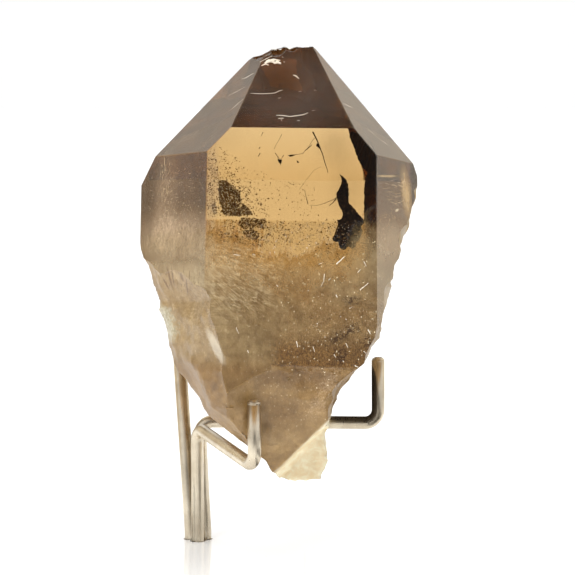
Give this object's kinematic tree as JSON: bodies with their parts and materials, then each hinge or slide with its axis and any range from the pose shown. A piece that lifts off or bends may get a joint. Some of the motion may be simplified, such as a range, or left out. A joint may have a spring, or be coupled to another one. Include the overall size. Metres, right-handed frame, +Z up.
{
  "type": "smoky quartz crystal on a wire stand",
  "caption": "Smoky quartz point with clear tip and milky broken lower end, held upright by thin bent metal wires that stand in a low white plate.",
  "frame": {"origin": "centre of the base plate's underside", "axes": "+Z up, +X to the right seen from the front, +Y to the back; the widest crystal face looks towards -Y"},
  "size_m": [0.12, 0.092, 0.1206],
  "materials": {
    "smoky_quartz": "clear smoky brown with polished natural faces, milky and rough where it is broken",
    "wire_metal": "bare drawn wire, finely brushed, with cut ends",
    "white_acrylic": "glossy white"
  },
  "bodies": {
    "root": {"crystal": "smoky_quartz", "back_support": "wire_metal", "front_prong": "wire_metal", "side_hook": "wire_metal", "base": "white_acrylic"}
  },
  "joints": []
}
